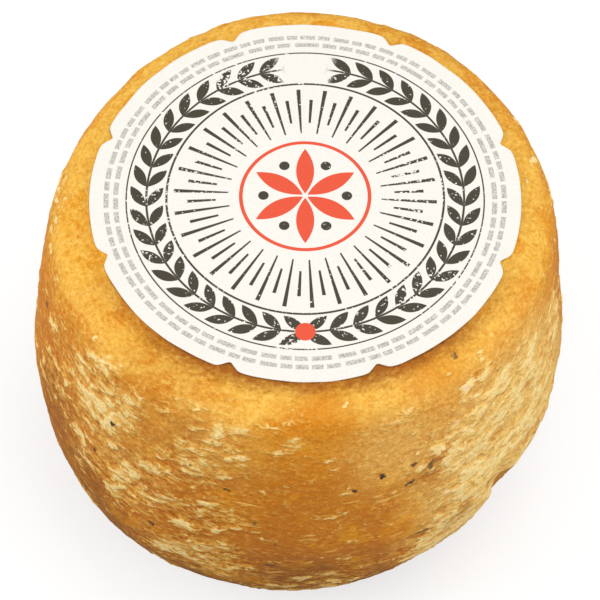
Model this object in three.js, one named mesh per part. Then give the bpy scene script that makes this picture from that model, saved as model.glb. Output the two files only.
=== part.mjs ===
// A small drum-shaped wheel of hard, smoked sheep milk cheese with a round paper label on its upper face.
// Millimetres, +Z up. The origin is under the middle of the wheel's width and depth, on the level that its flat
// foot rests on, and -Y is the front. Azimuths are in degrees, counterclockwise from +X.
import * as THREE from "three";
import { mergeVertices } from "three/addons/utils/BufferGeometryUtils.js";
import { ImprovedNoise } from "three/addons/math/ImprovedNoise.js";

const { clamp, degToRad, lerp, smoothstep } = THREE.MathUtils;

// The wheel
const wheelRadius = 55; // at its widest, halfway up
const wheelHeight = 77;
const topRadius = 49.4; // of the upper face, where the shoulder starts
const topCrown = 0.8; // how far the upper face's middle stands above its edge
const footRadius = 36; // of the flat underside
const shoulderFullness = 1.3; // exponent of the upper half's arc: 2 is an ellipse, more is squarer
const heelFullness = 1.95; // the same for the lower half
const softening = 2.2; // how far along the outline its corners are rounded off
const footSquash = 0.05; // how much of the rounded-off underside is pressed flat again
const lean = new THREE.Vector2(1.7, 2.7); // how far the upper face sits off the middle of the foot
const outOfRound = [
  { waves: 2, swell: 1, azimuth: 61 },
  { waves: 3, swell: 0.64, azimuth: -21.5 },
];

// Relief of the rind. Noise heights are for a full swing of the noise, and spacings are the size of one lump.
const lumps = [
  { spacing: 33, height: 0.8 },
  { spacing: 13, height: 0.45 },
];
const clothMarks = { spacing: 17, flatness: 2, height: 0.6 }; // wrinkles of the cheesecloth, along the side
const reliefUnderLabel = 0.3; // share of the relief that the upper face keeps
const reliefFrom = topRadius - 1; // radius where the relief starts to grow to the side's full height
const reliefTo = topRadius + 4;
const footFade = 7; // height over which the relief grows up from the flat foot
// A dent with a negative depth is a bump.
const dents = [
  { azimuth: -35, height: 16, across: 4.5, upright: 9, depth: 2.4 },
  { azimuth: -113, height: 13, across: 12, upright: 10, depth: 0.9 },
  { azimuth: -78, height: 13, across: 8, upright: 10, depth: -0.4 },
  { azimuth: 95, height: 72, across: 11, upright: 9, depth: -0.6 },
];

// The label
const labelRadius = 43;
const labelOffset = new THREE.Vector2(0.7, 2.4); // of the label's middle from the upper face's
const labelThickness = 0.3;
const labelGap = 0.3; // between the paper and the rind
const notchAzimuths = [18, 65, 111, 160, 199.5, 249.5, 289.5, 338]; // seen from the label's middle
const notchDepth = 2;
const notchWidth = 5.6;
const notchRounding = 1.35; // 1 is a plain V, and more rounds the corners of the tabs on either side

// Fineness
const wheelSteps = 28; // squares along each edge of the cube that is blown up into the wheel
const arcSteps = 60; // steps in each half of the outline
const outlineStep = 0.7; // between the points that are rounded off
const labelRings = 5;
const stepsAcrossNotch = 6;
const stepsAcrossTab = 6;
const mergeDistance = 1e-4;

const rindMaterial = new THREE.MeshStandardMaterial({ color: 0xd9982f, roughness: 0.6, metalness: 0 });
const paperMaterial = new THREE.MeshStandardMaterial({ color: 0xf7f5f1, roughness: 0.55, metalness: 0 });

// Half of the wheel's outline from the middle of the top to the middle of the foot, as (radius, height).
function wheelOutline() {
  const widestHeight = wheelHeight / 2;
  const edgeHeight = wheelHeight - topCrown;
  const path = new THREE.Path();
  path.moveTo(0, wheelHeight);
  for (let i = 1; i < arcSteps; i++) {
    const share = i / arcSteps;
    path.lineTo(topRadius * share, wheelHeight - topCrown * share ** 2);
  }
  for (let i = 0; i <= arcSteps; i++) {
    const angle = (Math.PI / 2) * (1 - i / arcSteps);
    const out = Math.max(Math.cos(angle), 0) ** (2 / shoulderFullness);
    const up = Math.sin(angle) ** (2 / shoulderFullness);
    path.lineTo(lerp(topRadius, wheelRadius, out), lerp(widestHeight, edgeHeight, up));
  }
  for (let i = 1; i <= arcSteps; i++) {
    const angle = (Math.PI / 2) * (i / arcSteps);
    const out = Math.max(Math.cos(angle), 0) ** (2 / heelFullness);
    const down = Math.sin(angle) ** (2 / heelFullness);
    path.lineTo(lerp(footRadius, wheelRadius, out), widestHeight * (1 - down));
  }
  path.lineTo(0, 0);
  return path;
}

// Rounds off a path's corners: each round moves every point halfway to the middle of its two neighbours.
function softened(path) {
  const points = path.getSpacedPoints(Math.round(path.getLength() / outlineStep));
  const rounds = Math.round(2 * (softening / outlineStep) ** 2);
  for (let round = 0; round < rounds; round++) {
    const before = points.map((point) => point.clone());
    for (let i = 1; i < points.length - 1; i++) {
      const between = before[i - 1].clone().add(before[i + 1]).divideScalar(2);
      points[i].lerp(between, 0.5);
    }
  }
  for (const point of points) point.y = Math.max(point.y - footSquash, 0);
  return new THREE.Path(points);
}

const outline = softened(wheelOutline());
const outlineLength = outline.getLength();
const noise = new ImprovedNoise();

function noiseAt(point, spacing, flatness = 1) {
  return noise.noise(point.x / spacing, point.y / spacing, (point.z * flatness) / spacing);
}

// How deep the dents are at a point of the side.
function dentDepth(point) {
  const azimuth = Math.atan2(point.y, point.x);
  let depth = 0;
  for (const dent of dents) {
    const turn = azimuth - degToRad(dent.azimuth);
    const across = (wheelRadius * Math.atan2(Math.sin(turn), Math.cos(turn))) / dent.across;
    const upright = (point.z - dent.height) / dent.upright;
    depth += dent.depth * Math.exp(-(across ** 2) - upright ** 2);
  }
  return depth;
}

// How far the rind stands above or below the plain wheel at a point of it.
function relief(point) {
  const onSide = smoothstep(Math.hypot(point.x, point.y), reliefFrom, reliefTo);
  let height = -dentDepth(point);
  for (const lump of lumps) height += lump.height * noiseAt(point, lump.spacing);
  height += onSide * clothMarks.height * noiseAt(point, clothMarks.spacing, clothMarks.flatness);
  return height * smoothstep(point.z, 0, footFade) * lerp(reliefUnderLabel, 1, onSide);
}

// How much further out than a round wheel's the side is at an azimuth, as a factor.
function swellAt(azimuth) {
  let swell = 0;
  for (const wave of outOfRound) swell += wave.swell * Math.cos(wave.waves * (azimuth - degToRad(wave.azimuth)));
  return 1 + swell / wheelRadius;
}

// The point of the rind that lies this far along the outline from the top's middle, raised by lift.
function rindPoint(along, azimuth, lift = 0) {
  const share = clamp(along / outlineLength, 0, 1);
  const { x: radius, y: height } = outline.getPointAt(share);
  const tangent = outline.getTangentAt(share);
  const sideways = new THREE.Vector3(Math.cos(azimuth), Math.sin(azimuth), 0);
  const point = sideways.clone().multiplyScalar(radius * swellAt(azimuth)).setZ(height);
  const normal = sideways.multiplyScalar(-tangent.y).setZ(tangent.x);
  point.addScaledVector(normal, relief(point) + lift);
  const upTheWheel = height / wheelHeight - 0.5;
  point.x += lean.x * upTheWheel;
  point.y += lean.y * upTheWheel;
  return point;
}

// A cube's grid blown up into a ball, whose polar angle then becomes the way along the outline.
function wheelGeometry() {
  const cube = new THREE.BoxGeometry(2, 2, 2, wheelSteps, wheelSteps, wheelSteps);
  cube.deleteAttribute("normal");
  cube.deleteAttribute("uv");
  const position = cube.getAttribute("position");
  const direction = new THREE.Vector3();
  for (let i = 0; i < position.count; i++) {
    direction.fromBufferAttribute(position, i);
    direction.set(...direction.toArray().map((v) => Math.tan((v * Math.PI) / 4))).normalize();
    const polar = Math.acos(clamp(direction.z, -1, 1));
    const point = rindPoint((polar / Math.PI) * outlineLength, Math.atan2(direction.y, direction.x));
    position.setXYZ(i, ...point.toArray());
  }
  const merged = mergeVertices(cube, mergeDistance);
  merged.computeVertexNormals();
  return merged;
}

// The label's edge as [angle, radius] pairs: eight tabs with a notch between each two.
function labelEdge() {
  const halfNotch = notchWidth / 2 / labelRadius;
  const edge = [];
  notchAzimuths.forEach((azimuth, k) => {
    const notch = degToRad(azimuth);
    for (let i = 0; i <= stepsAcrossNotch; i++) {
      const across = (2 * i) / stepsAcrossNotch - 1;
      const depth = notchDepth * (1 - Math.abs(across)) ** notchRounding;
      edge.push([notch + across * halfNotch, labelRadius - depth]);
    }
    const nextNotch = k + 1 < notchAzimuths.length ? notchAzimuths[k + 1] : notchAzimuths[0] + 360;
    const tabStart = notch + halfNotch;
    const tabEnd = degToRad(nextNotch) - halfNotch;
    for (let i = 1; i < stepsAcrossTab; i++) {
      edge.push([lerp(tabStart, tabEnd, i / stepsAcrossTab), labelRadius]);
    }
  });
  return edge;
}

// A point of the label by its own polar coordinates, laid on the rind.
function labelPoint(radius, angle, lift) {
  const flat = new THREE.Vector2(Math.cos(angle), Math.sin(angle)).multiplyScalar(radius).add(labelOffset);
  return rindPoint(flat.length() / swellAt(flat.angle()), flat.angle(), lift);
}

// Two sheets of rings round the label's middle, joined at the edge.
function labelGeometry() {
  const edge = labelEdge();
  const around = edge.length;
  const lifts = [labelGap + labelThickness, labelGap];
  const points = [];
  for (const lift of lifts) {
    points.push(labelPoint(0, 0, lift));
    for (let ring = 1; ring <= labelRings; ring++) {
      for (const [angle, radius] of edge) points.push(labelPoint((radius * ring) / labelRings, angle, lift));
    }
  }
  const sheetSize = 1 + labelRings * around;
  const at = (sheet, ring, k) => sheet * sheetSize + (ring ? 1 + (ring - 1) * around + (k % around) : 0);
  const faces = [];
  for (let k = 0; k < around; k++) {
    faces.push([at(0, 0, 0), at(0, 1, k), at(0, 1, k + 1)]);
    faces.push([at(1, 0, 0), at(1, 1, k + 1), at(1, 1, k)]);
    for (let ring = 1; ring < labelRings; ring++) {
      const [a, b] = [at(0, ring, k), at(0, ring, k + 1)];
      const [c, d] = [at(0, ring + 1, k), at(0, ring + 1, k + 1)];
      faces.push([a, c, d], [a, d, b]);
      const [e, f, g, h] = [a, b, c, d].map((v) => v + sheetSize);
      faces.push([e, h, g], [e, f, h]);
    }
    const [top, nextTop] = [at(0, labelRings, k), at(0, labelRings, k + 1)];
    const [under, nextUnder] = [top + sheetSize, nextTop + sheetSize];
    faces.push([top, under, nextUnder], [top, nextUnder, nextTop]);
  }
  const geometry = new THREE.BufferGeometry().setFromPoints(points);
  geometry.setIndex(faces.flat());
  geometry.computeVertexNormals();
  return geometry;
}

const wheel = new THREE.Mesh(wheelGeometry(), rindMaterial);
wheel.name = "cheese_wheel";

const label = new THREE.Mesh(labelGeometry(), paperMaterial);
label.name = "paper_label";

// The group is moved so that the middle of the whole's width and depth stands on the origin.
const cheese = new THREE.Group();
cheese.add(wheel, label);
const middle = new THREE.Box3().setFromObject(cheese).getCenter(new THREE.Vector3());
cheese.position.set(-middle.x, -middle.y, 0);

export default cheese;
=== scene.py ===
# A small wheel of smoked sheep milk cheese with a round paper label on top.
# Metres, Z up, the front is towards -Y. Sizes in the pattern nodes are in millimetres.
import math

import bpy
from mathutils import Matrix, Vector


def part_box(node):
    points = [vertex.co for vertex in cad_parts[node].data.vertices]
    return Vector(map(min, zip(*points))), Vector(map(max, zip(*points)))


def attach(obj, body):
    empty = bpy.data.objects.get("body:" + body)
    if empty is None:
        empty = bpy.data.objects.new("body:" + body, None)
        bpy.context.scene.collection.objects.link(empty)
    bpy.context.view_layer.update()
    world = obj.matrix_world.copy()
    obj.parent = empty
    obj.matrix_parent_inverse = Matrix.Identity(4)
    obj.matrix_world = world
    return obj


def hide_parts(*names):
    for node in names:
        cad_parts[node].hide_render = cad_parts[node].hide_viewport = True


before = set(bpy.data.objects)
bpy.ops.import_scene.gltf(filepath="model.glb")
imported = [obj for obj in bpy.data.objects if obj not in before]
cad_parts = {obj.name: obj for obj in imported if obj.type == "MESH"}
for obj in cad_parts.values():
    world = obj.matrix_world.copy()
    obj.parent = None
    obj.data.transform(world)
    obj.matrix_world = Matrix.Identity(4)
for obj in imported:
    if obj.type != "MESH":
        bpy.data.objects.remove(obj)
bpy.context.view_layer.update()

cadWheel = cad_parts["cheese_wheel"]
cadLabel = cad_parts["paper_label"]
mm = 0.001

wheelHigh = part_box("cheese_wheel")[1]
labelLow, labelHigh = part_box("paper_label")
wheelMiddle = Vector((0, 0, wheelHigh.z / 2))
labelMiddle = (labelLow + labelHigh) / 2
labelRadius = (labelHigh.x - labelLow.x) / 2 / mm
labelCentre = (labelMiddle.x / mm, labelMiddle.y / mm, 0)
mergeDistance = 0.01 * mm


# General helpers

def deselectAll():
    if bpy.context.object and bpy.context.object.mode != "OBJECT":
        bpy.ops.object.mode_set(mode="OBJECT")
    bpy.ops.object.select_all(action="DESELECT")


def pickOnly(piece):
    deselectAll()
    piece.select_set(True)
    bpy.context.view_layer.objects.active = piece


def applyModifiers(piece):
    pickOnly(piece)
    for modifier in list(piece.modifiers):
        bpy.ops.object.modifier_apply(modifier=modifier.name)


def copyOfNode(node, name):
    piece = bpy.data.objects.new(name, node.data.copy())
    bpy.context.scene.collection.objects.link(piece)
    piece.data.materials.clear()
    pickOnly(piece)
    bpy.ops.object.mode_set(mode="EDIT")
    bpy.ops.mesh.select_all(action="SELECT")
    bpy.ops.mesh.remove_doubles(threshold=mergeDistance)
    bpy.ops.object.mode_set(mode="OBJECT")
    return piece


def joinTriangles(piece, degrees):
    pickOnly(piece)
    bpy.ops.object.mode_set(mode="EDIT")
    bpy.ops.mesh.select_all(action="SELECT")
    angle = math.radians(degrees)
    bpy.ops.mesh.tris_convert_to_quads(face_threshold=angle, shape_threshold=angle)
    bpy.ops.object.mode_set(mode="OBJECT")


def addFiner(piece, levels):
    finer = piece.modifiers.new("finer", "SUBSURF")
    finer.levels = levels
    finer.render_levels = levels


def addNodesModifier(piece, tree):
    modifier = piece.modifiers.new(tree.name, "NODES")
    modifier.node_group = tree


def newMaterial(name):
    material = bpy.data.materials.new(name)
    material.use_nodes = True
    tree = material.node_tree
    return material, tree, tree.nodes["Principled BSDF"]


def direction(azimuth, rise):
    a = math.radians(azimuth)
    r = math.radians(rise)
    return Vector((math.cos(a) * math.cos(r), math.sin(a) * math.cos(r), math.sin(r)))


def onWheel(azimuth, rise):
    # where the wheel's surface is, seen from its middle
    return cadWheel.ray_cast(wheelMiddle, direction(azimuth, rise))[1]


def toLinear(value):
    # the usual curve of a screen
    return ((value + 0.055) / 1.055) ** 2.4 if value > 0.04 else value / 12.92


def srgb(red, green, blue):
    # 0 to 255 as on a screen, to the linear colour that the nodes want
    return (*[toLinear(value / 255) for value in (red, green, blue)], 1)


# Node helpers, which work in material and geometry trees alike

def addNode(tree, kind, inputs=None, **settings):
    node = tree.nodes.new(kind)
    for name, value in settings.items():
        setattr(node, name, value)
    for key, value in (inputs or {}).items():
        if isinstance(value, bpy.types.NodeSocket):
            tree.links.new(value, node.inputs[key])
        else:
            node.inputs[key].default_value = value
    return node


def calc(tree, operation, *values, clamp=False):
    node = addNode(tree, "ShaderNodeMath", dict(enumerate(values)), operation=operation, use_clamp=clamp)
    return node.outputs[0]


def times(tree, first, *others):
    for other in others:
        first = calc(tree, "MULTIPLY", first, other)
    return first


def highest(tree, first, *others):
    for other in others:
        first = calc(tree, "MAXIMUM", first, other)
    return first


def less(tree, mask, amount=1.0, start=1.0):
    # the start value where the mask is 0, and less by the amount where it is 1
    return calc(tree, "MULTIPLY_ADD", mask, -amount, start)


def swing(tree, value, reach):
    # a noise of 0 to 1 as a change to both sides of zero
    return calc(tree, "MULTIPLY_ADD", value, reach, -reach / 2)


def summed(tree, parts):
    # several values, each multiplied by its own share, added up
    total = None
    for value, share in parts:
        part = calc(tree, "MULTIPLY", value, share)
        total = part if total is None else calc(tree, "ADD", total, part)
    return total


def vector(tree, operation, *values):
    node = addNode(tree, "ShaderNodeVectorMath", dict(enumerate(values)), operation=operation)
    return node.outputs["Value" if operation in ("LENGTH", "DISTANCE", "DOT_PRODUCT") else "Vector"]


def scaled(tree, value, factor):
    inputs = {"Vector": value, "Scale": factor}
    return addNode(tree, "ShaderNodeVectorMath", inputs, operation="SCALE").outputs[0]


def noise(tree, point, size, detail=2.0, roughness=0.5, distortion=0.0, output=0):
    inputs = {"Vector": point, "Scale": 1 / size, "Detail": detail, "Roughness": roughness}
    inputs["Distortion"] = distortion
    return addNode(tree, "ShaderNodeTexNoise", inputs).outputs[output]


def streaked(tree, flow, long, wide, **kind):
    # noise whose grains are long round the wheel and less wide down its side
    shrunk = vector(tree, "MULTIPLY", flow, (1 / long, 1 / long, 1 / wide))
    return noise(tree, shrunk, 1.0, **kind)


def pushed(tree, point, kind, reach, at=None):
    # the point, moved about by a noise that is read there or at another place
    # a noise's three numbers lie round 0.5
    push = noise(tree, point if at is None else at, **kind, output=1)
    push = scaled(tree, vector(tree, "SUBTRACT", push, (0.5, 0.5, 0.5)), reach)
    return vector(tree, "ADD", point, push)


def ramp(tree, value, low, high, outLow=0.0, outHigh=1.0, smooth=True):
    inputs = {"Value": value, "From Min": low, "From Max": high, "To Min": outLow, "To Max": outHigh}
    shape = "SMOOTHSTEP" if smooth else "LINEAR"
    return addNode(tree, "ShaderNodeMapRange", inputs, interpolation_type=shape).outputs[0]


def between(tree, value, low, high, soft):
    # 1 from low to high and 0 outside, with soft ends
    rising = ramp(tree, value, low - soft, low + soft)
    return times(tree, rising, ramp(tree, value, high + soft, high - soft))


def tones(tree, value, stops):
    # a colour by the value, with the stops in rising order
    low = stops[0][0]
    high = stops[-1][0]
    node = addNode(tree, "ShaderNodeValToRGB", {"Fac": ramp(tree, value, low, high, smooth=False)})
    elements = node.color_ramp.elements
    elements.remove(elements[1])
    for index, (place, tone) in enumerate(stops):
        at = (place - low) / (high - low)
        element = elements[0] if index == 0 else elements.new(at)
        element.position = at
        element.color = tone
    return node.outputs[0]


def blend(tree, factor, first, second, mode="MIX"):
    node = addNode(tree, "ShaderNodeMix", data_type="RGBA", blend_type=mode)
    # in a mix of colours, 0 is the factor and 6 and 7 are the two colours
    for key, value in ((0, factor), (6, first), (7, second)):
        if isinstance(value, bpy.types.NodeSocket):
            tree.links.new(value, node.inputs[key])
        else:
            node.inputs[key].default_value = value
    return node.outputs[2]


def split(tree, value):
    return addNode(tree, "ShaderNodeSeparateXYZ", {0: value}).outputs


def join(tree, x, y, z):
    return addNode(tree, "ShaderNodeCombineXYZ", {0: x, 1: y, 2: z}).outputs[0]


spotCore = 0.4      # the share of a spot at full strength, where the spot has no core of its own


def spots(tree, point, places):
    # the strongest of several round or flattened soft-edged spots
    mask = None
    for place in places:
        centre = onWheel(place["azimuth"], place["rise"]) / mm
        away = vector(tree, "SUBTRACT", point, tuple(centre))
        away = vector(tree, "MULTIPLY", away, (1, 1, place.get("flat", 1)))
        inner = place["size"] * place.get("core", spotCore)
        spot = ramp(tree, vector(tree, "LENGTH", away), place["size"], inner, 0, place.get("amount", 1))
        mask = spot if mask is None else highest(tree, mask, spot)
    return mask


grainMake = {
    "sockets": (
        ("Point", "INPUT", "Vector"), ("Size", "INPUT", "Float"), ("Depth", "INPUT", "Float"),
        ("Height", "OUTPUT", "Float"), ("Shade", "OUTPUT", "Color")),
    "detail": 2.0, "roughness": 0.6,
    "fade": (0.3, 0.7),
    "even": 0.6,        # a grain at this level doesn't change the tone
    "greenPower": 1.6, "bluePower": 2.6,
}


def grainGroup():
    # fine unevenness that rind and paper share, each with its own size and depth of tone
    group = bpy.data.node_groups.new("fineGrain", "ShaderNodeTree")
    for name, way, kind in grainMake["sockets"]:
        group.interface.new_socket(name, in_out=way, socket_type="NodeSocket" + kind)
    given = addNode(group, "NodeGroupInput").outputs
    fineness = calc(group, "DIVIDE", 1.0, given["Size"])
    inputs = {"Vector": given["Point"], "Scale": fineness}
    inputs["Detail"] = grainMake["detail"]
    inputs["Roughness"] = grainMake["roughness"]
    height = addNode(group, "ShaderNodeTexNoise", inputs).outputs[0]
    level = calc(group, "SUBTRACT", ramp(group, height, *grainMake["fade"]), grainMake["even"])
    shade = calc(group, "ADD", 1.0, times(group, level, given["Depth"]))
    # darker grains are warmer too
    green = calc(group, "POWER", shade, grainMake["greenPower"])
    blue = calc(group, "POWER", shade, grainMake["bluePower"])
    addNode(group, "NodeGroupOutput", {"Height": height, "Shade": join(group, shade, green, blue)})
    return group


def grained(tree, point, size, depth):
    group = bpy.data.node_groups.get("fineGrain") or grainGroup()
    given = {"Point": point, "Size": size, "Depth": depth}
    return addNode(tree, "ShaderNodeGroup", given, node_tree=group).outputs


def objectPoint(tree):
    # the place on the piece in millimetres, which moves with it
    return scaled(tree, addNode(tree, "ShaderNodeTexCoord").outputs["Object"], 1 / mm)


def newRelief(name):
    # a geometry tree, with the place of each vertex in millimetres
    tree = bpy.data.node_groups.new(name, "GeometryNodeTree")
    for way in ("INPUT", "OUTPUT"):
        tree.interface.new_socket("Geometry", in_out=way, socket_type="NodeSocketGeometry")
    return tree, scaled(tree, addNode(tree, "GeometryNodeInputPosition").outputs[0], 1 / mm)


def moveBy(tree, offset):
    start = addNode(tree, "NodeGroupInput").outputs[0]
    inputs = {"Geometry": start, "Offset": offset}
    addNode(tree, "NodeGroupOutput", {0: addNode(tree, "GeometryNodeSetPosition", inputs).outputs[0]})


# Camera, lights and floor

cameraView = {
    "elevation": 57.6, "distance": 0.66, "lens": 191.4,
    "target": (0.00030, -0.00041, 0.0442),
    "nearest": 0.01,
}
studio = {
    "key": {"place": (0.25, 0.10, 0.80), "size": 0.7, "power": 2.6},
    "fill": {"place": (0.60, -0.45, 0.30), "size": 0.5, "power": 2.25},
    "side": {"place": (-0.70, -0.05, 0.35), "size": 0.5, "power": 2.95},
    "aim": (0, 0, 0.04),
    "world": 0.58,
    "floor": srgb(165, 165, 165),
    "floorGlow": 0.65,
    "floorBounce": 0.3,
    "floorRadius": 3.0,
    "floorCorners": 96,
    "floorRoughness": 0.9,
}


def buildCamera():
    elevation = math.radians(cameraView["elevation"])
    back = Vector((0, -math.cos(elevation), math.sin(elevation)))
    place = Vector(cameraView["target"]) + back * cameraView["distance"]
    bpy.ops.object.camera_add(location=place, rotation=(math.pi / 2 - elevation, 0, 0))
    camera = bpy.context.object
    camera.data.lens = cameraView["lens"]
    camera.data.clip_start = cameraView["nearest"]
    bpy.context.scene.camera = camera


def buildLights():
    for name in ("key", "fill", "side"):
        light = studio[name]
        place = Vector(light["place"])
        turn = (Vector(studio["aim"]) - place).to_track_quat("-Z", "Y").to_euler()
        bpy.ops.object.light_add(type="AREA", location=place, rotation=turn)
        lamp = bpy.context.object
        lamp.name = name + "Light"
        lamp.data.size = light["size"]
        lamp.data.energy = light["power"]
    world = bpy.data.worlds.new("studioWorld")
    world.use_nodes = True
    background = world.node_tree.nodes["Background"]
    background.inputs["Color"].default_value = (1, 1, 1, 1)
    background.inputs["Strength"].default_value = studio["world"]
    bpy.context.scene.world = world


def buildFloor():
    deselectAll()
    bpy.ops.mesh.primitive_circle_add(
        vertices=studio["floorCorners"], radius=studio["floorRadius"], fill_type="NGON")
    floor = bpy.context.object
    floor.name = "studioFloor"
    material, tree, shader = newMaterial("paleFloor")
    # the floor looks pale but lights the cheese's side less, as a matt table would
    lightPath = addNode(tree, "ShaderNodeLightPath").outputs
    dim = (*[studio["floorBounce"]] * 3, 1)
    shown = blend(tree, lightPath["Is Diffuse Ray"], studio["floor"], dim)
    tree.links.new(shown, shader.inputs["Base Color"])
    glow = times(tree, lightPath["Is Camera Ray"], studio["floorGlow"])
    tree.links.new(glow, shader.inputs["Emission Strength"])
    shader.inputs["Emission Color"].default_value = (1, 1, 1, 1)
    shader.inputs["Roughness"].default_value = studio["floorRoughness"]
    floor.data.materials.append(material)


# The wheel's patterns, shared by its relief and its colours
# Sizes are millimetres. A fade is where it starts and ends, and what it gives at the start and the end.
# Without the last two it gives 0 and 1.

rindPattern = {
    "stroke": {"long": 5.2, "wide": 2.5, "detail": 2, "roughness": 0.55, "distortion": 0.3},
    "fleck": {"long": 2.1, "wide": 1.0, "detail": 1, "roughness": 0.5, "distortion": 0.3},
    "crumb": {"size": 0.8, "detail": 1, "roughness": 0.6},
    "fleckShare": 0.33,         # flecks and crumbs break the strokes up
    "crumbShare": 0.1,
    "bend": {"size": 5.0, "detail": 1},
    "bendReach": 2.4,
    "streakFade": (-0.035, 0.035),
    "creamLevel": (0, 1, 0.69, 0.42),       # lower where more cream lies
    "dash": {"long": 6.5, "wide": 1.15, "detail": 1, "roughness": 0.5, "distortion": 0.5},
    "dashFade": (0.66, 0.72),
    "loose": {"size": 7.0, "detail": 2, "roughness": 0.45},
    "looseTurn": {"Axis": (1, 2, 3), "Angle": 0.9},
    "looseReach": 9.0,
    "chance": {"size": 15.0, "detail": 2},
    "chanceFade": (0.34, 0.7, 0.05, 0.8),
    "chanceBehind": (-20.0, 5.0, 0.55, 0.9),        # along y, from the front to the back
    "leastCover": 0.3,
    "coverByLabel": (labelRadius, labelRadius + 8.5, 0.3, 1.0),
}
# directions in degrees, as seen from the wheel's middle
creamPatches = [
    {"azimuth": -40, "rise": 26, "size": 11, "core": 0.2, "amount": 0.9},
    {"azimuth": -46, "rise": 31, "size": 9, "core": 0.2, "amount": 0.84},
    {"azimuth": -48, "rise": 26, "size": 14, "core": 0.1, "amount": 0.8},
    {"azimuth": -56, "rise": 20, "size": 17, "core": 0.1, "amount": 0.74},
    {"azimuth": -38, "rise": 9, "size": 36, "core": 0.3, "amount": 0.88},
    {"azimuth": -56, "rise": -12, "size": 19, "core": 0.25, "amount": 0.92},
    {"azimuth": -15, "rise": 18, "size": 18, "core": 0.2, "amount": 0.7},
    {"azimuth": -138, "rise": 24, "size": 22, "core": 0.3, "amount": 0.72},
    {"azimuth": -124, "rise": 10, "size": 26, "core": 0.3, "amount": 0.63},
    {"azimuth": -109, "rise": 31, "size": 17, "core": 0.2, "amount": 0.53},
    {"azimuth": -113, "rise": 23, "size": 15, "core": 0.2, "amount": 0.62},
    {"azimuth": -106, "rise": 10, "size": 15, "core": 0.1, "amount": 0.6},
    {"azimuth": -148, "rise": 9, "size": 23, "amount": 0.55},
    {"azimuth": -142, "rise": 6, "size": 6, "core": 0.2, "amount": 0.85},
    {"azimuth": -138, "rise": 2, "size": 5, "core": 0.2, "amount": 0.9},
    {"azimuth": -132, "rise": 1, "size": 7, "core": 0.2, "amount": 0.9},
    {"azimuth": -112, "rise": -10, "size": 22, "core": 0.2, "amount": 0.68},
    {"azimuth": -90, "rise": -24, "size": 18, "amount": 0.58},
    {"azimuth": 15, "rise": -12, "size": 26, "core": 0.1, "amount": 0.66},
    {"azimuth": 62, "rise": 12, "size": 32, "core": 0.1, "amount": 0.72},
    {"azimuth": 96, "rise": -14, "size": 26, "core": 0.1, "amount": 0.62},
    {"azimuth": 124, "rise": 20, "size": 26, "core": 0.1, "amount": 0.64},
    {"azimuth": 165, "rise": 6, "size": 30, "core": 0.1, "amount": 0.66},
    {"azimuth": 140, "rise": -20, "size": 22, "core": 0.1, "amount": 0.6},
]
barePatches = [
    {"azimuth": -84, "rise": 21, "size": 16, "core": 0.2, "amount": 0.75},
    {"azimuth": -89, "rise": 7, "size": 19, "core": 0.2, "amount": 0.72},
    {"azimuth": -84, "rise": 36, "size": 9, "amount": 0.9},
    {"azimuth": -119, "rise": 0, "size": 7, "core": 0.1, "amount": 0.5},
    {"azimuth": -152, "rise": -4, "size": 16, "core": 0.2, "amount": 0.6},
    {"azimuth": -114, "rise": 16, "size": 6, "core": 0.1, "amount": 0.4},
    {"azimuth": -93, "rise": 33, "size": 9, "core": 0.2, "amount": 0.75},
    {"azimuth": -54, "rise": 39, "size": 9, "core": 0.3, "amount": 0.75},
    {"azimuth": -72, "rise": 0, "size": 13, "core": 0.2, "amount": 0.8},
]
amberPatches = [
    {"azimuth": -87, "rise": 37, "size": 11, "flat": 2, "amount": 0.9},
    {"azimuth": -150, "rise": 40, "size": 9, "amount": 0.5},
    {"azimuth": -132, "rise": 38, "size": 7, "amount": 0.6},
    {"azimuth": -120, "rise": 38.5, "size": 13, "core": 0.2, "amount": 0.7},
    {"azimuth": -60, "rise": 41, "size": 8, "amount": 0.8},
    {"azimuth": -45, "rise": 42, "size": 7, "amount": 0.6},
    {"azimuth": -41.4, "rise": -2.6, "size": 5, "amount": 0.7},
]
palePatches = [
    {"azimuth": -36, "rise": 8, "size": 36, "core": 0.5, "amount": 1.0},
    {"azimuth": -52, "rise": -14, "size": 20, "core": 0.4, "amount": 0.9},
    {"azimuth": -50, "rise": 26, "size": 18, "core": 0.1, "amount": 0.75},
    {"azimuth": -66, "rise": 27, "size": 20, "core": 0.2, "amount": 0.65},
    {"azimuth": -110, "rise": 30, "size": 18, "core": 0.2, "amount": 0.45},
    {"azimuth": -134, "rise": 22, "size": 24, "core": 0.3, "amount": 0.35},
    {"azimuth": 68, "rise": 4, "size": 34, "core": 0.3, "amount": 0.75},
    {"azimuth": 128, "rise": 14, "size": 24, "core": 0.2, "amount": 0.5},
    {"azimuth": 168, "rise": 2, "size": 26, "core": 0.2, "amount": 0.6},
]
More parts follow.
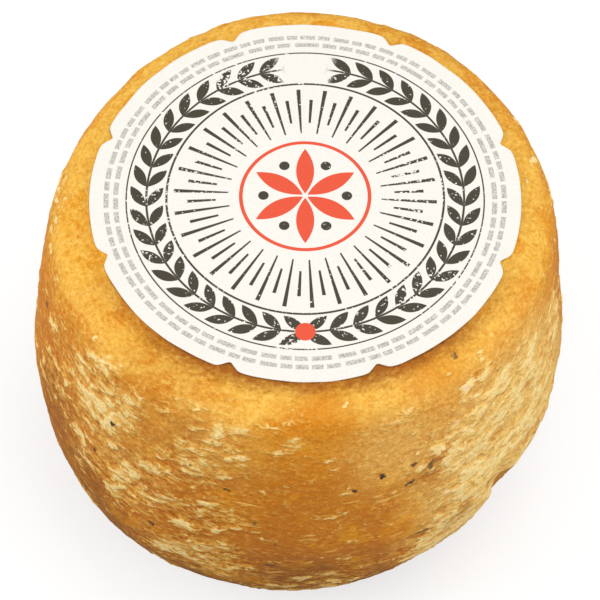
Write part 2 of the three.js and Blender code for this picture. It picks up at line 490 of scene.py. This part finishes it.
# brown patches: partly the rind's own brown, partly painted shade along the lower left and bottom edges
brownAndShadePatches = [
    {"azimuth": -153, "rise": 2, "size": 17, "core": 0.2, "amount": 0.8},
    {"azimuth": -137, "rise": -20, "size": 16, "core": 0.2, "amount": 0.7},
    {"azimuth": -100, "rise": -36, "size": 22, "core": 0.3, "amount": 0.7},
    {"azimuth": -72, "rise": -36, "size": 18, "core": 0.3, "amount": 0.6},
    {"azimuth": -90, "rise": -17, "size": 15, "core": 0.2, "amount": 0.75},
    {"azimuth": -143, "rise": -7, "size": 18, "core": 0.3, "amount": 0.8},
    {"azimuth": -54, "rise": -8, "size": 8, "flat": 2.2, "amount": 0.9},
    {"azimuth": -47, "rise": 22.5, "size": 2.5, "amount": 0.6},
    {"azimuth": -123, "rise": 40, "size": 17, "core": 0.2, "amount": 0.22},
    {"azimuth": -42.6, "rise": -6, "size": 3.0, "amount": 0.6},
    {"azimuth": -60.5, "rise": 17.5, "size": 3.4, "amount": 0.45},
    {"azimuth": -65.3, "rise": 14.8, "size": 2.6, "amount": 0.4},
    {"azimuth": -63.2, "rise": -6.6, "size": 4.5, "flat": 1.6, "amount": 0.5},
]
pinkSpots = [
    {"azimuth": -49.4, "rise": 33.2, "size": 1.2, "amount": 0.8},
    {"azimuth": -53.1, "rise": 26.1, "size": 0.9, "amount": 0.7},
    {"azimuth": -57.1, "rise": 5.6, "size": 1.2, "amount": 0.8},
]


def flowPoint(tree, point):
    # x and y as they are, with the way from the top's middle over the shoulder and down the side
    # the height is handed back too
    part = split(tree, point)
    out = vector(tree, "LENGTH", join(tree, part[0], part[1], 0.0))
    up = calc(tree, "SUBTRACT", part[2], wheelMiddle.z / mm)
    polar = calc(tree, "ARCTAN2", out, up)
    down = times(tree, polar, wheelHigh.x / mm)
    return join(tree, part[0], part[1], down), part[2]


def fromLabel(tree, point):
    # how far a place is from the label's middle, seen from above
    part = split(tree, point)
    return vector(tree, "DISTANCE", join(tree, part[0], part[1], 0.0), labelCentre)


def loosened(tree, point):
    # the same place, pushed about so that patches get uneven outlines
    # the noise is turned, so that no edge follows an axis
    inputs = {"Vector": point, **rindPattern["looseTurn"]}
    turned = addNode(tree, "ShaderNodeVectorRotate", inputs).outputs[0]
    return pushed(tree, point, rindPattern["loose"], rindPattern["looseReach"], at=turned)


def coverage(tree, point, loose, away):
    # how thick the cream streaks lie, 0 to 1: as listed in front, and more by chance behind
    chance = ramp(tree, noise(tree, loose, **rindPattern["chance"]), *rindPattern["chanceFade"])
    behind = ramp(tree, split(tree, point)[1], *rindPattern["chanceBehind"])
    cream = highest(tree, times(tree, chance, behind), spots(tree, loose, creamPatches))
    cream = times(tree, cream, less(tree, spots(tree, loose, barePatches)))
    cream = highest(tree, cream, rindPattern["leastCover"])
    return times(tree, cream, ramp(tree, away, *rindPattern["coverByLabel"]))


def brushed(tree, flow):
    # ragged strokes along the rim, broken up by flecks and crumbs: high on a stroke and low beside it
    bent = pushed(tree, flow, rindPattern["bend"], rindPattern["bendReach"])
    fleckShare = rindPattern["fleckShare"]
    crumbShare = rindPattern["crumbShare"]
    return summed(tree, (
        (streaked(tree, bent, **rindPattern["stroke"]), 1 - fleckShare - crumbShare),
        (streaked(tree, bent, **rindPattern["fleck"]), fleckShare),
        (noise(tree, bent, **rindPattern["crumb"]), crumbShare)))


def dashes(tree, flow):
    # thin separate strokes on the bare parts
    return ramp(tree, streaked(tree, flow, **rindPattern["dash"]), *rindPattern["dashFade"])


def overLevel(tree, line, cover):
    # how far a stroke stands over the level where cream starts
    level = ramp(tree, cover, *rindPattern["creamLevel"], smooth=False)
    return calc(tree, "SUBTRACT", line, level)


def streaks(tree, over):
    return ramp(tree, over, *rindPattern["streakFade"])


# The wheel

wheelMake = {
    "quadAngle": 60,
    "levels": 2,
    "wrinkle": {"long": 7.5, "wide": 2.6, "detail": 2, "roughness": 0.5, "distortion": 0.4},
    "wrinkleHeight": 0.64,
    "pebble": {"size": 4.2, "detail": 3, "roughness": 0.55},
    "pebbleHeight": 0.6,
    "streakHeight": 0.22,
    "bareCalm": 0.6,
    "footFade": (0.3, 4.0),         # by height
    "labelFade": (labelRadius - 1.0, labelRadius + 1.5),        # by the way from the label's middle
    "lowFade": (60.0, 50.0),        # by height, so that the label doesn't calm what lies below it
    "creaseReach": 1.6,             # in widths of the crease
}
# from and to are directions as above, and the sizes are millimetres
creases = [
    {"from": (-2.0, 40.4), "to": (-3.0, 36.4), "width": 0.9, "depth": 0.35},
    {"from": (-93.1, 41.1), "to": (-91.9, 37.2), "width": 0.8, "depth": 0.3},
    {"from": (-91.9, 37.2), "to": (-90.4, 35.4), "width": 0.8, "depth": 0.25},
    {"from": (-42.5, -5.0), "to": (-35.0, -20.5), "width": 2.6, "depth": 1.5},
]


def nearSegment(point, start, end):
    along = (point - start).dot(end - start) / (end - start).length_squared
    return (point - start.lerp(end, min(max(along, 0), 1))).length


def pressCreases(wheel):
    pickOnly(wheel)
    for crease in creases:
        start = onWheel(*crease["from"])
        end = onWheel(*crease["to"])
        width = crease["width"] * mm
        bpy.ops.object.mode_set(mode="EDIT")
        bpy.ops.mesh.select_all(action="DESELECT")
        bpy.ops.object.mode_set(mode="OBJECT")
        for vertex in wheel.data.vertices:
            vertex.select = nearSegment(vertex.co, start, end) < width / 2
        bpy.ops.object.mode_set(mode="EDIT")
        bpy.ops.transform.shrink_fatten(
            value=-crease["depth"] * mm, use_proportional_edit=True,
            proportional_edit_falloff="SMOOTH", proportional_size=wheelMake["creaseReach"] * width)
        bpy.ops.object.mode_set(mode="OBJECT")


def reliefTree():
    tree, point = newRelief("rindRelief")
    flow, height = flowPoint(tree, point)
    loose = loosened(tree, point)
    labelAway = fromLabel(tree, point)
    cover = coverage(tree, point, loose, labelAway)
    over = overLevel(tree, brushed(tree, flow), cover)

    wrinkle = swing(tree, streaked(tree, flow, **wheelMake["wrinkle"]), wheelMake["wrinkleHeight"])
    pebble = swing(tree, noise(tree, point, **wheelMake["pebble"]), wheelMake["pebbleHeight"])
    streak = times(tree, streaks(tree, over), wheelMake["streakHeight"])
    rise = calc(tree, "ADD", calc(tree, "ADD", wrinkle, pebble), streak)

    # calmer on bare parts, and none on the foot and under the label
    calm = less(tree, spots(tree, loose, barePatches), wheelMake["bareCalm"])
    offFoot = ramp(tree, height, *wheelMake["footFade"])
    besideLabel = ramp(tree, labelAway, *wheelMake["labelFade"])
    free = highest(tree, besideLabel, ramp(tree, height, *wheelMake["lowFade"]))
    rise = times(tree, rise, calm, offFoot, free, mm)
    moveBy(tree, scaled(tree, addNode(tree, "GeometryNodeInputNormal").outputs[0], rise))
    return tree


def buildWheel():
    wheel = copyOfNode(cadWheel, "rindWheel")
    joinTriangles(wheel, wheelMake["quadAngle"])
    addFiner(wheel, wheelMake["levels"])
    applyModifiers(wheel)
    pressCreases(wheel)
    addNodesModifier(wheel, reliefTree())
    applyModifiers(wheel)
    bpy.ops.object.shade_smooth()
    wheel.data.materials.append(rindMaterial())
    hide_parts("cheese_wheel")
    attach(wheel, "root")
    print("wheel:", len(wheel.data.polygons), "faces")


# The rind's colours

rindLook = {
    # tones by the way from the top's middle over the shoulder and down to the foot, in millimetres; the
    # darker tones round the lower edge are partly painted shade
    "tones": [
        (40, srgb(232, 172, 62)),
        (48, srgb(234, 173, 60)),
        (56, srgb(222, 142, 34)),
        (66, srgb(208, 127, 32)),
        (88, srgb(200, 120, 34)),
        (100, srgb(184, 110, 34)),
        (112, srgb(156, 96, 34)),
        (124, srgb(160, 98, 34)),
        (142, srgb(188, 120, 44)),
    ],
    "honey": srgb(229, 152, 24),
    "amber": srgb(217, 134, 22),
    "pale": srgb(244, 194, 84),
    "fleck": srgb(249, 204, 106),
    "pit": (0.82, 0.64, 0.36, 1),
    "rust": srgb(206, 122, 36),
    "bloom": srgb(236, 172, 70),
    "paleBloom": srgb(243, 200, 116),
    "creamEdge": srgb(246, 192, 98),
    "cream": srgb(255, 228, 156),
    # painted shade for the hollows beside the streaks
    "hollowShade": (0.78, 0.58, 0.36, 1),
    # brown, partly painted shade on the lower edges
    "brown": srgb(150, 92, 34),
    # the stain under the label's edge, partly painted shadow
    "stainAndShadow": srgb(150, 76, 10),
    "soot": srgb(70, 56, 46),
    "pink": srgb(255, 220, 176),
}
rindMake = {
    "wobble": {"size": 1.1, "detail": 2},
    "wobbleReach": 2.4,
    "broad": {"size": 9, "detail": 3, "roughness": 0.6},
    "mottle": {"long": 1 / 0.55, "wide": 1 / 0.95, "detail": 4, "roughness": 0.68, "distortion": 0.2},
    "pebbles": {"long": 1 / 0.95, "wide": 0.8, "detail": 2, "roughness": 0.55},
    "mottleShare": 0.45,
    "pebbleShare": 0.55,
    "grain": {"size": 0.6, "depth": 0.16},
    "toneSwing": 22,            # how far the tones wander up and down
    "paleBand": {"low": 46, "high": 51, "soft": 1.5},
    "paleBandAmount": 0.5,
    "paleBandBare": 0.45,
    "bloomSwing": 1.8,
    "rust": {"size": 7.5, "detail": 2, "roughness": 0.5},
    "stainAndShadowSwing": 6,
    "streakBump": 0.2,
    "gritBump": 0.6,
    "grainBump": 0.08,
    "bump": 0.8,
    "specular": 0.14,
}
rindFades = {
    # by the way down
    "overFoot": (124, 112),
    "onShoulder": (66, 52, 0.35, 0.8),
    "onSide": (60, 70),
    # by the noise or the mask that the layer follows
    "honey": (0.48, 0.34, 0, 0.7),
    "bloom": (0.3, 0.85, 0, 0.85),
    "rust": (0.54, 0.68, 0, 0.6),
    "roughByCover": (0.25, 0.5, 0.1, 1),
    "fleck": (0.48, 0.66, 0, 0.75),
    "pit": (0.5, 0.34, 0, 0.8),
    "brown": (0.62, 0.4, 0.5, 1),
    # painted shade beside the streaks, by how far below the cream level a place lies
    "hollowShade": (-0.02, -0.12),
    "hollowShadeByCover": (0.25, 0.7, 0, 0.85),
    "hollowShadeByPale": (0, 1, 1, 0.75),
    "dashByCover": (0.75, 0.45, 0, 0.75),
    "creamMiddle": (0, 0.09),
    "creamByPale": (0, 1, 1, 0.85),
    "creamByGrit": (0.36, 0.5, 0.65, 1),
    "creamByBrownAndShade": (0, 1, 1, 0.5),
    # the stain under the label's edge and the painted shadow of the label, strongest in front
    "stainAndShadow": (labelRadius + 4.5, labelRadius - 0.5, 0, 0.85),
    "stainAndShadowByHeight": (60, 70),
    "stainAndShadowInFront": (-10, -34, 0.14, 1),
    "roughness": (0.3, 0.7, 0.5, 0.68),         # from the darker to the lighter mottle
    "bumpByCover": (0.2, 0.7, 0.5, 0.95),
}
specks = [
    {"azimuth": -132.7, "rise": 22.4, "size": 1.0},
    {"azimuth": -137.3, "rise": 8.5, "size": 0.6},
    {"azimuth": -113.1, "rise": 23.3, "size": 0.6},
    {"azimuth": -105.0, "rise": 18.3, "size": 1.2, "flat": 2},
    {"azimuth": -121.2, "rise": -2.3, "size": 0.9},
    {"azimuth": -99.1, "rise": 8.8, "size": 0.9, "amount": 0.6},
    {"azimuth": -94.8, "rise": 1.2, "size": 0.7, "amount": 0.5},
    {"azimuth": -96.0, "rise": -8.8, "size": 1.6, "flat": 1.5, "amount": 0.6},
    {"azimuth": -78.2, "rise": 17.7, "size": 0.8},
    {"azimuth": -72.0, "rise": 20.3, "size": 1.1},
    {"azimuth": -64.6, "rise": 20.6, "size": 1.1, "flat": 2, "amount": 0.8},
    {"azimuth": -60.9, "rise": 18.4, "size": 1.3, "amount": 0.8},
    {"azimuth": -59.9, "rise": 19.2, "size": 0.6, "amount": 0.8},
    {"azimuth": -65.8, "rise": 15.4, "size": 1.6, "flat": 2},
    {"azimuth": -62.7, "rise": -6.1, "size": 1.9, "flat": 2, "amount": 0.7},
    {"azimuth": -57.5, "rise": -6.5, "size": 1.4, "flat": 2, "amount": 0.4},
    {"azimuth": -48.1, "rise": 39.9, "size": 0.8, "amount": 0.7},
    {"azimuth": -165.7, "rise": 24.5, "size": 0.8, "flat": 0.6, "amount": 0.7},
    {"azimuth": 87.8, "rise": 34.9, "size": 0.7},
]
strays = {
    "apart": 11.0,
    "smallest": 0.35,
    "largest": 0.95,
    "rim": (1.0, 0.5),
    "chance": (0.42, 0.32),     # about four places in ten get a speck
    "behind": (-4.0, 8.0),
    "amount": 0.8,
}


def straySpecks(tree, point, wobbled):
    # chance specks on the sides that have none listed
    inputs = {"Vector": wobbled, "Scale": 1 / strays["apart"]}
    cells = addNode(tree, "ShaderNodeTexVoronoi", inputs).outputs
    chance = split(tree, cells["Color"])
    smallest = strays["smallest"] / strays["apart"]
    largest = strays["largest"] / strays["apart"]
    size = ramp(tree, chance[1], 0, 1, smallest, largest)
    speck = ramp(tree, calc(tree, "DIVIDE", cells["Distance"], size), *strays["rim"])
    chosen = ramp(tree, chance[0], *strays["chance"])
    behind = ramp(tree, split(tree, point)[1], *strays["behind"])
    return times(tree, speck, chosen, behind, strays["amount"])


def rindMaterial():
    material, tree, shader = newMaterial("smokedRind")
    point = objectPoint(tree)
    flow, height = flowPoint(tree, point)
    down = split(tree, flow)[2]
    labelAway = fromLabel(tree, point)
    loose = loosened(tree, point)
    wobbled = pushed(tree, point, rindMake["wobble"], rindMake["wobbleReach"])
    cover = coverage(tree, point, loose, labelAway)
    over = overLevel(tree, brushed(tree, flow), cover)
    streak = streaks(tree, over)
    bare = spots(tree, loose, barePatches)
    pale = spots(tree, loose, palePatches)
    brownAndShade = spots(tree, loose, brownAndShadePatches)

    broad = noise(tree, point, **rindMake["broad"])
    mottle = streaked(tree, flow, **rindMake["mottle"])
    pebbles = streaked(tree, flow, **rindMake["pebbles"])
    grit = summed(tree, ((mottle, rindMake["mottleShare"]), (pebbles, rindMake["pebbleShare"])))
    grain = grained(tree, point, **rindMake["grain"])

    def fade(name, value, smooth=True):
        return ramp(tree, value, *rindFades[name], smooth=smooth)

    def paint(colour, name, *amounts, mode="MIX"):
        return blend(tree, times(tree, *amounts), colour, rindLook[name], mode)

    # golden shoulder, caramel side and brown lower edge, the brown partly painted shade, with a pale
    # band beside the label
    overFoot = fade("overFoot", down)
    shifted = calc(tree, "ADD", down, swing(tree, broad, rindMake["toneSwing"]))
    colour = tones(tree, shifted, rindLook["tones"])
    colour = paint(colour, "honey", fade("honey", broad), overFoot)
    colour = paint(colour, "amber", spots(tree, loose, amberPatches))
    bandAmount = less(tree, bare, rindMake["paleBandBare"], rindMake["paleBandAmount"])
    colour = paint(colour, "pale", between(tree, shifted, **rindMake["paleBand"]), bandAmount)

    # pale bloom, rusty clouds, and the fine light and dark of rough parts
    bloom = fade("bloom", calc(tree, "ADD", cover, swing(tree, mottle, rindMake["bloomSwing"])))
    bloomTone = blend(tree, pale, rindLook["bloom"], rindLook["paleBloom"])
    colour = blend(tree, highest(tree, bloom, pale), colour, bloomTone)
    onSide = fade("onSide", down)
    colour = paint(colour, "rust", fade("rust", noise(tree, loose, **rindMake["rust"])), onSide)
    rough = times(tree, fade("onShoulder", down), less(tree, bare))
    rough = highest(tree, rough, fade("roughByCover", highest(tree, cover, pale)))
    colour = paint(colour, "fleck", fade("fleck", grit), rough)
    colour = paint(colour, "pit", fade("pit", grit), rough, mode="MULTIPLY")
    # brown patches, partly painted shade along the lower edges
    colour = paint(colour, "brown", brownAndShade, fade("brown", mottle))

    # cream streaks with painted shade in the hollows beside them, and thin dashes elsewhere
    hollowShade = times(tree, fade("hollowShade", over), fade("hollowShadeByCover", cover), fade("hollowShadeByPale", pale))
    colour = paint(colour, "hollowShade", hollowShade, mode="MULTIPLY")
    dash = times(tree, dashes(tree, flow), fade("dashByCover", cover), overFoot, onSide)
    colour = paint(colour, "creamEdge", dash)
    creamTone = blend(tree, fade("creamMiddle", over), rindLook["creamEdge"], rindLook["cream"])
    thick = times(tree, fade("creamByPale", pale), fade("creamByGrit", grit))
    # thinner cream where the brown and the painted shade lie
    thick = times(tree, thick, fade("creamByBrownAndShade", brownAndShade, smooth=False))
    colour = blend(tree, times(tree, streak, thick), colour, creamTone)
    colour = paint(colour, "pink", spots(tree, wobbled, pinkSpots))

    # the stain beside the label with painted shadow under its front edge, specks and grain
    edge = calc(tree, "ADD", labelAway, swing(tree, mottle, rindMake["stainAndShadowSwing"]))
    stainAndShadow = times(tree, fade("stainAndShadow", edge), fade("stainAndShadowByHeight", height))
    # more in front, where the painted shadow of the label's front edge lies
    colour = paint(colour, "stainAndShadow", stainAndShadow, fade("stainAndShadowInFront", split(tree, point)[1]))
    soot = highest(tree, spots(tree, wobbled, specks), straySpecks(tree, point, wobbled))
    colour = paint(colour, "soot", soot)
    colour = blend(tree, 1.0, colour, grain["Shade"], "MULTIPLY")

    lift = summed(tree, (
        (streak, rindMake["streakBump"]),
        (over, fade("bumpByCover", cover)),
        (grit, rindMake["gritBump"]),
        (grain["Height"], rindMake["grainBump"])))
    bumpInputs = {"Height": lift, "Distance": mm, "Strength": rindMake["bump"]}
    bump = addNode(tree, "ShaderNodeBump", bumpInputs)
    tree.links.new(colour, shader.inputs["Base Color"])
    tree.links.new(fade("roughness", mottle), shader.inputs["Roughness"])
    tree.links.new(bump.outputs[0], shader.inputs["Normal"])
    shader.inputs["Specular IOR Level"].default_value = rindMake["specular"]
    return material


# The paper label

labelMake = {
    "quadAngle": 70,
    "levels": 2,
    "thickness": 0.16,
    "lie": 0.5,             # how far the skin sinks from the solid's top
    "wave": {"size": 14, "detail": 1},
    "waveHeight": 0.12,
    "lift": 0.35,
    "liftFrom": 36.0,
    "liftPlaces": {"size": 9, "detail": 1},
    "liftFade": (0.3, 0.65),
    "upwards": 0.5,         # faces that look up more than this are the skin
    "smoothAngle": 40,
}


def labelTree():
    tree, point = newRelief("labelLie")
    wave = times(tree, noise(tree, point, **labelMake["wave"]), labelMake["waveHeight"])
    edge = ramp(tree, fromLabel(tree, point), labelMake["liftFrom"], labelRadius, 0, labelMake["lift"])
    places = ramp(tree, noise(tree, point, **labelMake["liftPlaces"]), *labelMake["liftFade"])
    up = calc(tree, "ADD", wave, times(tree, edge, places))
    up = calc(tree, "SUBTRACT", up, labelMake["lie"])
    moveBy(tree, join(tree, 0.0, 0.0, times(tree, up, mm)))
    return tree


def buildLabel():
    label = copyOfNode(cadLabel, "labelPaper")
    bpy.ops.object.mode_set(mode="EDIT")
    bpy.ops.mesh.select_all(action="DESELECT")
    bpy.ops.object.mode_set(mode="OBJECT")
    # only the upper skin is kept, and gets the paper's own thickness
    for face in label.data.polygons:
        face.select = face.normal.z < labelMake["upwards"]
    bpy.ops.object.mode_set(mode="EDIT")
    bpy.ops.mesh.delete(type="FACE")
    bpy.ops.object.mode_set(mode="OBJECT")
    joinTriangles(label, labelMake["quadAngle"])
    addFiner(label, labelMake["levels"])
    addNodesModifier(label, labelTree())
    paper = label.modifiers.new("paper", "SOLIDIFY")
    paper.thickness = labelMake["thickness"] * mm
    paper.offset = -1       # downwards, from the skin
    applyModifiers(label)
    bpy.ops.object.shade_smooth_by_angle(angle=math.radians(labelMake["smoothAngle"]))
    label.data.materials.append(labelMaterial())
    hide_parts("paper_label")
    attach(label, "root")
    print("label:", len(label.data.polygons), "faces")


printLook = {
    "paper": srgb(237, 234, 226),
    "ink": srgb(66, 60, 46),
    "orange": srgb(228, 84, 54),
    "grey": srgb(150, 148, 142),
    "edge": 0.04,           # softness of the print's edges
    "fineWear": {"size": 0.55, "detail": 1},
    "broadWear": {"size": 9, "detail": 1},
    "broadShare": 0.5,
    "wearFade": (0.99, 0.93),
    "fibre": {"size": 0.4, "depth": 0.035},
    "fibreHeight": 0.04,
    "fibreBump": 0.6,
    "roughness": 0.55,
    "specular": 0.3,
}
# radii from the label's middle, and sizes, in millimetres
ornament = {
    "smallPrint": [{"radius": 39.6, "words": 74}, {"radius": 37.7, "words": 62}],
    "smallPrintHeight": 1.0,
    "wordNoise": {"size": 0.22, "detail": 0},
    "wordSwing": 0.12,
    "wordShare": 0.39,
    "letters": {"size": 0.28, "detail": 1},
    "letterFade": (0.3, 0.7, 0.25, 0.9),
    "rings": [{"radius": 35.6, "width": 0.3}, {"radius": 27.6, "width": 0.45}],
    "wreathRadius": 31.6,
    "leaves": 21,
    "leafLength": 5.6,
    "leafWidth": 2.1,
    "leafTilt": 33,
    "leafOut": 1.75,
    "stem": 0.45,
    "wreathGap": 0.16,      # to both sides of the back, in radians
    "rays": 60,
    "rayFrom": 15.2,
    "rayTo": 26.2,
    "shortRay": 2.6,
    "rayWidth": (0.32, 0.85),
    "petals": 6,
    "petalLength": 10.8,
    "petalWidth": 3.6,
    "petalFrom": 0.5,
    "petalRing": {"radius": 12.8, "width": 0.75},
    "dotRadius": 8.3,
    "dotSize": 1.05,
    "knotSize": 2.0,
}


def within(tree, value, limit):
    # 1 where the value is under the limit, with the softness of a printed edge
    return ramp(tree, calc(tree, "SUBTRACT", value, limit), printLook["edge"], -printLook["edge"])


def ringInk(tree, out, radius, width):
    return within(tree, calc(tree, "ABSOLUTE", calc(tree, "SUBTRACT", out, radius)), width / 2)


def turnsOf(tree, angle, count):
    return times(tree, angle, count / (2 * math.pi))


def sectorOf(tree, angle, count):
    # where the angle lies within its own share of the circle, -0.5 to 0.5
    return calc(tree, "SUBTRACT", calc(tree, "FRACT", turnsOf(tree, angle, count)), 0.5)


def inSector(tree, angle, out, count):
    # how far out along the middle line of its sector a place is, and how far beside it
    turn = times(tree, sectorOf(tree, angle, count), 2 * math.pi / count)
    return times(tree, out, calc(tree, "COSINE", turn)), times(tree, out, calc(tree, "SINE", turn))


def lens(tree, along, across, length, width):
    # a leaf or petal: full in its middle and pointed at both ends
    share = calc(tree, "DIVIDE", along, length / 2)
    half = times(tree, less(tree, times(tree, share, share)), width / 2)
    return within(tree, calc(tree, "ABSOLUTE", across), half)


def wreathInk(tree, angle, out):
    # two branches that rise from the bottom, with a leaf on each side of the stem at every step
    side = calc(tree, "ABSOLUTE", angle)
    step = math.pi * ornament["wreathRadius"] / ornament["leaves"]
    along = times(tree, sectorOf(tree, side, 2 * ornament["leaves"]), step)
    across = calc(tree, "SUBTRACT", out, ornament["wreathRadius"])
    ink = within(tree, calc(tree, "ABSOLUTE", across), ornament["stem"] / 2)
    cosine = math.cos(math.radians(ornament["leafTilt"]))
    sine = math.sin(math.radians(ornament["leafTilt"]))
    for way in (1, -1):
        beside = calc(tree, "SUBTRACT", across, way * ornament["leafOut"])
        leafAlong = summed(tree, ((along, cosine), (beside, way * sine)))
        leafAcross = summed(tree, ((beside, cosine), (along, -way * sine)))
        leaf = lens(tree, leafAlong, leafAcross, ornament["leafLength"], ornament["leafWidth"])
        ink = highest(tree, ink, leaf)
    ends = within(tree, calc(tree, "SUBTRACT", math.pi, side), ornament["wreathGap"])
    return calc(tree, "SUBTRACT", ink, ends, clamp=True)


def rayInk(tree, angle, out):
    count = ornament["rays"]
    across = times(tree, sectorOf(tree, angle, count), 2 * math.pi / count, out)
    inner, outer = ornament["rayWidth"]
    half = ramp(
        tree, out, ornament["rayFrom"], ornament["rayTo"], inner / 2, outer / 2, smooth=False)
    ink = within(tree, calc(tree, "ABSOLUTE", across), half)
    # every other ray is shorter at both ends
    number = calc(tree, "FLOOR", turnsOf(tree, angle, count))
    odd = calc(tree, "ABSOLUTE", calc(tree, "MODULO", number, 2.0))
    shorter = times(tree, odd, ornament["shortRay"])
    starts = calc(tree, "ADD", shorter, ornament["rayFrom"])
    ends = calc(tree, "SUBTRACT", ornament["rayTo"], shorter)
    return times(tree, ink, within(tree, starts, out), within(tree, out, ends))


def smallPrintInk(tree, angle, out, point):
    # rows of plain dashes of uneven length
    ink = None
    for row in ornament["smallPrint"]:
        loose = noise(tree, join(tree, angle, row["radius"], 0.0), **ornament["wordNoise"])
        turned = calc(tree, "ADD", angle, times(tree, loose, ornament["wordSwing"]))
        word = calc(tree, "ABSOLUTE", sectorOf(tree, turned, row["words"]))
        line = ringInk(tree, out, row["radius"], ornament["smallPrintHeight"])
        dash = times(tree, within(tree, word, ornament["wordShare"]), line)
        ink = dash if ink is None else highest(tree, ink, dash)
    letters = noise(tree, point, **ornament["letters"])
    return times(tree, ink, ramp(tree, letters, *ornament["letterFade"]))


def flowerInk(tree, angle, out):
    turned = calc(tree, "ADD", angle, math.pi / ornament["petals"])
    along, across = inSector(tree, turned, out, ornament["petals"])
    middle = ornament["petalFrom"] + ornament["petalLength"] / 2
    along = calc(tree, "SUBTRACT", along, middle)
    return lens(tree, along, across, ornament["petalLength"], ornament["petalWidth"])


def dotInk(tree, angle, out):
    along, across = inSector(tree, angle, out, ornament["petals"])
    along = calc(tree, "SUBTRACT", along, ornament["dotRadius"])
    away = vector(tree, "LENGTH", join(tree, along, across, 0.0))
    return within(tree, away, ornament["dotSize"])


def labelMaterial():
    material, tree, shader = newMaterial("labelPrint")
    point = objectPoint(tree)
    part = split(tree, vector(tree, "SUBTRACT", point, labelCentre))
    flat = join(tree, part[0], part[1], 0.0)
    out = vector(tree, "LENGTH", flat)
    # the angle is 0 at the front and grows to the right
    angle = calc(tree, "ARCTAN2", part[0], times(tree, part[1], -1.0))

    rings = [ringInk(tree, out, **ring) for ring in ornament["rings"]]
    marks = (rayInk(tree, angle, out), dotInk(tree, angle, out))
    ink = highest(tree, wreathInk(tree, angle, out), *marks, *rings)
    fineWear = noise(tree, point, **printLook["fineWear"])
    broadWear = noise(tree, point, **printLook["broadWear"])
    wear = summed(tree, ((fineWear, 1.0), (broadWear, printLook["broadShare"])))
    ink = times(tree, ink, ramp(tree, wear, *printLook["wearFade"]))
    knot = vector(tree, "DISTANCE", flat, (0, -ornament["wreathRadius"], 0))
    knot = within(tree, knot, ornament["knotSize"])
    petalRing = ringInk(tree, out, **ornament["petalRing"])
    orange = highest(tree, flowerInk(tree, angle, out), petalRing, knot)

    smallPrint = smallPrintInk(tree, angle, out, point)
    colour = blend(tree, smallPrint, printLook["paper"], printLook["grey"])
    colour = blend(tree, ink, colour, printLook["ink"])
    colour = blend(tree, orange, colour, printLook["orange"])
    fibre = grained(tree, point, **printLook["fibre"])
    colour = blend(tree, 1.0, colour, fibre["Shade"], "MULTIPLY")
    bumpInputs = {"Height": fibre["Height"], "Distance": printLook["fibreHeight"] * mm}
    bumpInputs["Strength"] = printLook["fibreBump"]
    bump = addNode(tree, "ShaderNodeBump", bumpInputs)
    tree.links.new(colour, shader.inputs["Base Color"])
    tree.links.new(bump.outputs[0], shader.inputs["Normal"])
    shader.inputs["Roughness"].default_value = printLook["roughness"]
    shader.inputs["Specular IOR Level"].default_value = printLook["specular"]
    return material


buildCamera()
buildLights()
buildFloor()
bpy.context.scene.view_settings.view_transform = "Standard"
print("camera, lights and floor are ready")
buildWheel()
buildLabel()
